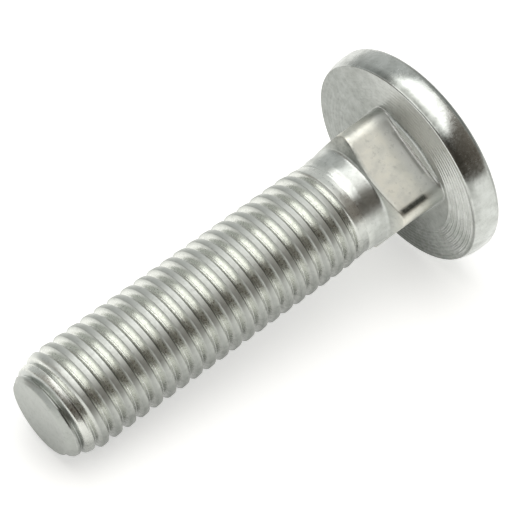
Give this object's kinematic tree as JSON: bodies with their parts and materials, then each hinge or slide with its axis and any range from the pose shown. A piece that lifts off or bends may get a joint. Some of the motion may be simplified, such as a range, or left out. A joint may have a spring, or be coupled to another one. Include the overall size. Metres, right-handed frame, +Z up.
{
  "type": "carriage bolt",
  "caption": "Carriage bolt with a low domed head, a short square neck that stops it turning, a plain shank and a metric thread, lying at rest on its side.",
  "frame": {"origin": "centre of the bounding box on the ground that the bolt lies on", "axes": "+Z up, +X level along the length from the tip to the head, which the bolt's own axis rises above by 8.4 degrees, +Y across"},
  "size_m": [0.0556, 0.0256, 0.0255],
  "materials": {
    "steel": "bright zinc plate over rolled and forged steel, semi-gloss"
  },
  "bodies": {
    "root": {"bolt": "steel"}
  },
  "joints": []
}
